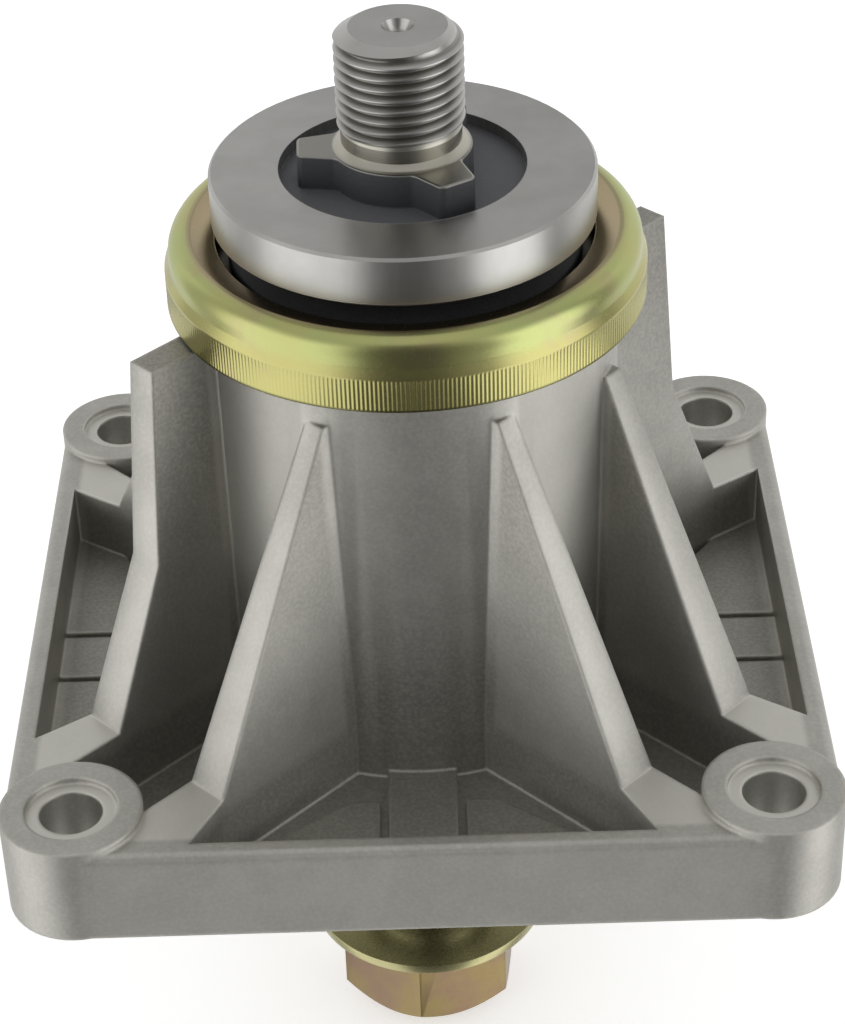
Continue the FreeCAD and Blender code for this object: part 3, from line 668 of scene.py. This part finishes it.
def knurledCap():
    # The pressed cap again, with a full round bead and a cut knurl on its skirt
    form = capForm
    low, high = (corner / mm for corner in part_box("dust_cap"))
    outer, bottom, top = high.x, low.z, high.z
    sheet, rounding, bend = form["sheet"], form["crestRound"], form["bendRound"]
    wall = outer - form["shoulder"]
    crest = wall - form["crestWidth"]
    throat = crest - form["flareWidth"]
    lipReach, lip = form["lipReach"], top - form["flareDrop"]
    hole, head = form["holeReach"], bottom + form["headTop"]
    knurlFoot, knurlTop = bottom + form["knurlStart"], bottom + form["knurlEnd"]
    runout = form["knurlRunout"]
    points = roundedOutline([
        (outer - sheet, bottom, 0), (outer, bottom, form["hemRound"]), (outer, knurlFoot, 0),
        (outer, knurlFoot + runout, 0), (outer, knurlTop - runout, 0), (outer, knurlTop, 0),
        (outer, bottom + form["shoulderStart"], form["shoulderRound"]),
        (wall, bottom + form["wallStart"], form["wallRound"]), (wall, top, rounding),
        (crest, top, rounding / 2), (lipReach, lip, form["lipRound"]),
        (lipReach, lip - form["lipSheet"], form["lipRound"]), (throat, lip - sheet, bend),
        (throat, head + sheet, form["headRound"]), (hole, head + sheet, bend), (hole, head, 0),
        (throat + sheet, head, 0), (throat + sheet, lip - sheet, bend),
        (crest + form["crestInset"], top - sheet, bend), (wall - sheet, top - sheet, rounding - sheet),
        (wall - sheet, head + sheet / 2, 0), (outer - sheet, head, 0)])
    perTooth = form["toothColumns"]

    def cut(point, column):
        onBand = knurlFoot + runout / 2 < point.y < knurlTop - runout / 2
        inGroove = point.x > outer - meshing["slack"] and onBand and column % perTooth < perTooth / 2
        return point.x - form["knurlDepth"] * inGroove

    shape = turnedShape(points, perTooth * form["teeth"], cut)
    mesh = toMesh(shape, "knurled_cap", form["sharpDegrees"])
    return newPiece("knurled_cap", mesh, "zinc_yellow_cap", "housing", "dust_cap")


cap = knurledCap()
print("cap", len(cap.data.polygons), "faces")


sealForm = {"softening": 0.3, "sharpDegrees": 40, "boreReach": 8.5}
nutForm = {"softening": 0.4, "sharpDegrees": 22, "boreReach": 8.5}


def softPiece(node, name, slot, form):
    # A node's own shape again, its edges outside the bore rounded
    shape = nodeShape(node)
    softenEdges(shape, form["softening"], lambda middle: middle.xy.length > form["boreReach"])
    bmesh.ops.triangulate(shape, faces=shape.faces)
    newPiece(name, toMesh(shape, name, form["sharpDegrees"]), slot, "spindle", node)


softPiece("v_ring_seal", "ring_seal_moulding", "black_rubber", sealForm)
softPiece("hex_flange_nut", "flange_nut_forging", "zinc_gold_nut", nutForm)
print("seal and nut")


# Studio

studio = {"floorSide": 6000.0, "floorDrop": 0.4, "floorColour": (0.93, 0.93, 0.93, 1.0),
          "floorRoughness": 0.9, "glow": 0.5, "glowColour": (1.0, 1.0, 1.0, 1.0)}


def makeFloor():
    low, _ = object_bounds()
    half = studio["floorSide"] / 2 * mm
    z = low.z - studio["floorDrop"] * mm
    corners = [(-half, -half, z), (half, -half, z), (half, half, z), (-half, half, z)]
    mesh = bpy.data.meshes.new("floor")
    mesh.from_pydata(corners, [], [(0, 1, 2, 3)])
    floor = bpy.data.objects.new("floor", mesh)
    bpy.context.scene.collection.objects.link(floor)
    finish = Finish("pale_floor", Base_Color=studio["floorColour"], Roughness=studio["floorRoughness"],
                    Emission_Strength=studio["glow"], Emission_Color=studio["glowColour"])
    mesh.materials.append(finish.material)
    # The floor shows to the camera alone: the part neither mirrors it nor is shaded or lit by it
    floor.visible_glossy = False
    floor.visible_shadow = False
    floor.visible_diffuse = False


# Each box is its angle from the front towards the right, its half width in degrees and its strength
light = {"strength": 0.8, "level": 0.43, "above": 0.43, "aboveRise": (0.3, 1.0),
         "boxes": [(-60, 30, 1.3), (65, 21, 1.75), (-104, 26, 0.3), (-150, 26, 0.6), (140, 30, 0.7)],
         "boxEdge": (1.35, 0.65), "boxTop": (0.85, 0.35),
         "front": 0.72, "frontEdge": (0.87, 0.995), "frontTop": (0.95, 0.75),
         "colour": (1.0, 1.0, 1.0, 1.0), "leastFlat": 0.001}


def makeLight():
    # Soft boxes as bright patches of the surroundings, and a dark one ahead for the metal to mirror
    world = bpy.data.worlds.new("studio")
    bpy.context.scene.world = world
    world.use_nodes = True
    tree = Tree(world.node_tree)
    direction = tree.node("TexCoord", output="Generated")
    x, y, z = tree.axes(direction)
    flat = ((x * x + y * y) ** 0.5).most(light["leastFlat"])
    total = light["level"] + light["above"] * z.step(*light["aboveRise"])
    for angle, halfWidth, strength in light["boxes"]:
        turned = math.radians(angle)
        toward = (x * math.sin(turned) - y * math.cos(turned)) / flat
        outer, inner = (math.cos(math.radians(halfWidth * share)) for share in light["boxEdge"])
        total = total + strength * toward.step(outer, inner) * z.step(*light["boxTop"])
    ahead = (0 - y) / flat
    dark = ahead.step(*light["frontEdge"]) * z.size().step(*light["frontTop"])
    total = total * (1 - light["front"] * dark) * light["strength"]
    # Past the floor's edge the camera sees plain white, not the lamps
    seen = tree.node("LightPath", output="Is Camera Ray")
    total = total * (1 - seen) + seen
    background = world.node_tree.nodes["Background"]
    background.inputs["Color"].default_value = light["colour"]
    world.node_tree.links.new(total.socket, background.inputs["Strength"])


makeFloor()
makeLight()
print("floor and light")


# Angles in radians, focal length and long side in pixels
view = {"place": (2.933, -307.408, 239.702), "yaw": -0.00633, "pitch": 0.60613, "roll": -0.03435,
        "focal": 2787.4, "longSide": 1024, "sensor": 36.0, "nearest": 10.0}


def makeCamera():
    yaw, pitch, roll = view["yaw"], view["pitch"], view["roll"]
    forward = Vector((math.sin(yaw) * math.cos(pitch), math.cos(yaw) * math.cos(pitch), -math.sin(pitch)))
    level = Vector((math.cos(yaw), -math.sin(yaw), 0))
    rise = level.cross(forward)
    right = level * math.cos(roll) + rise * math.sin(roll)
    up = rise * math.cos(roll) - level * math.sin(roll)
    camera = bpy.data.objects.new("camera", bpy.data.cameras.new("camera"))
    bpy.context.scene.collection.objects.link(camera)
    turn = Matrix((right, up, -forward)).transposed().to_4x4()
    camera.matrix_world = Matrix.Translation(Vector(view["place"]) * mm) @ turn
    camera.data.sensor_width = view["sensor"]
    camera.data.lens = view["focal"] * view["sensor"] / view["longSide"]
    camera.data.clip_start = view["nearest"] * mm
    bpy.context.scene.camera = camera


makeCamera()
bpy.context.scene.view_settings.view_transform = "Standard"
print("camera")
